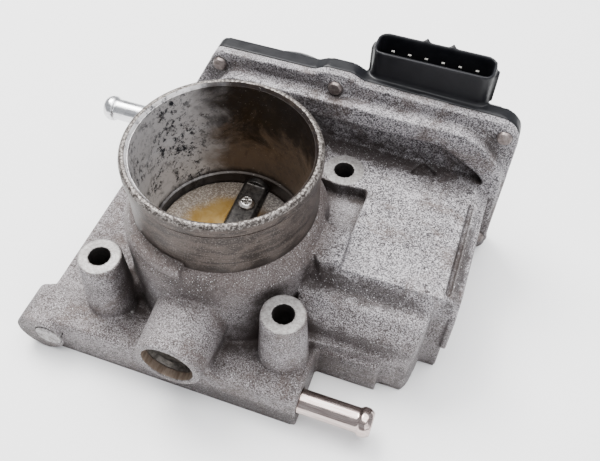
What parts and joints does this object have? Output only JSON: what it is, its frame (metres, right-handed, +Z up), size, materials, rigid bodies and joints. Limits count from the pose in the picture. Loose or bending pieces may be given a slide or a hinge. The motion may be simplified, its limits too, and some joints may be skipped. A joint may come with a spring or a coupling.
{
  "type": "electronic throttle body",
  "caption": "Cast throttle body with an intake collar, butterfly valve on a cross shaft, motor and gear case, plug socket and coolant nipples.",
  "frame": {"origin": "centre of the throttle bore at the mounting face, in the middle of the four mounting bolts", "axes": "+Z up the bore towards the intake collar, +Y towards the gear case and cover, +X towards the motor; the cross shaft lies along Y"},
  "size_m": [0.1502, 0.1124, 0.0766],
  "materials": {
    "cast_alloy": "sand-cast, dirty",
    "plug_steel": "machined",
    "black_rubber": "matt",
    "bearing_steel": "ground",
    "cap_steel": "dark, oiled",
    "bright_steel": "bright plated",
    "zinc_steel": "zinc plated",
    "screw_steel": "zinc plated",
    "spring_steel": "oiled wire",
    "motor_steel": "zinc plated",
    "ferrite": "ferrite",
    "black_plastic": "moulded",
    "carbon": "carbon",
    "tinned_brass": "tinned",
    "cover_plastic": "moulded, satin",
    "gasket_rubber": "matt",
    "rivet_steel": "dull",
    "circuit_board": "lacquered",
    "shaft_steel": "oily, dark",
    "oily_brass_tone": "oil-stained",
    "gear_plastic": "moulded",
    "bronze": "sintered",
    "copper": "wound"
  },
  "bodies": {
    "body": {"housing": "cast_alloy", "gallery_plug": "plug_steel", "mounting_seal": "black_rubber", "front_bearing": "bearing_steel", "rear_bearing": "bearing_steel", "rear_shaft_seal": "black_rubber", "front_bearing_cap": "cap_steel", "coolant_nipple_right": "bright_steel", "coolant_nipple_left": "zinc_steel", "idler_pin": "bearing_steel", "closed_stop_screw": "screw_steel", "return_spring": "spring_steel", "motor_can": "motor_steel", "motor_magnets": "ferrite", "motor_end_plate": "black_plastic", "motor_brushes": "carbon", "motor_screws": "screw_steel", "motor_terminals": "tinned_brass", "gear_cover": "cover_plastic", "cover_gasket": "gasket_rubber", "cover_rivets": "rivet_steel", "connector_pins": "tinned_brass", "position_sensor_board": "circuit_board"},
    "throttle": {"throttle_shaft": "shaft_steel", "butterfly_plate": "oily_brass_tone", "plate_screws": "screw_steel", "sector_gear": "gear_plastic", "sector_retaining_ring": "spring_steel", "sensor_magnet": "ferrite"},
    "idler": {"idler_gear": "gear_plastic", "idler_bush": "bronze"},
    "rotor": {"motor_shaft": "bearing_steel", "motor_pinion": "bronze", "motor_armature": "copper", "motor_commutator": "copper"}
  },
  "joints": [
    {"name": "throttle_turn", "type": "hinge", "parent": "body", "child": "throttle", "pos_m": [0, 0, 0.0252], "axis": [0, 1, 0], "range_deg": [-5, 79], "stiffness_Nm_per_rad": 0.12},
    {"name": "idler_turn", "type": "hinge", "parent": "body", "child": "idler", "pos_m": [0.03029, 0.0478, 0.02772], "axis": [0, 1, 0], "range_deg": [-175, 15]},
    {"name": "rotor_turn", "type": "hinge", "parent": "body", "child": "rotor", "pos_m": [0.059, 0, 0.0205], "axis": [0, 1, 0], "range_deg": [-45, 630]}
  ],
  "couplings": [
    {"joint": "idler_turn", "follows": "throttle_turn", "ratio": -2.1667},
    {"joint": "rotor_turn", "follows": "throttle_turn", "ratio": 7.8542}
  ]
}
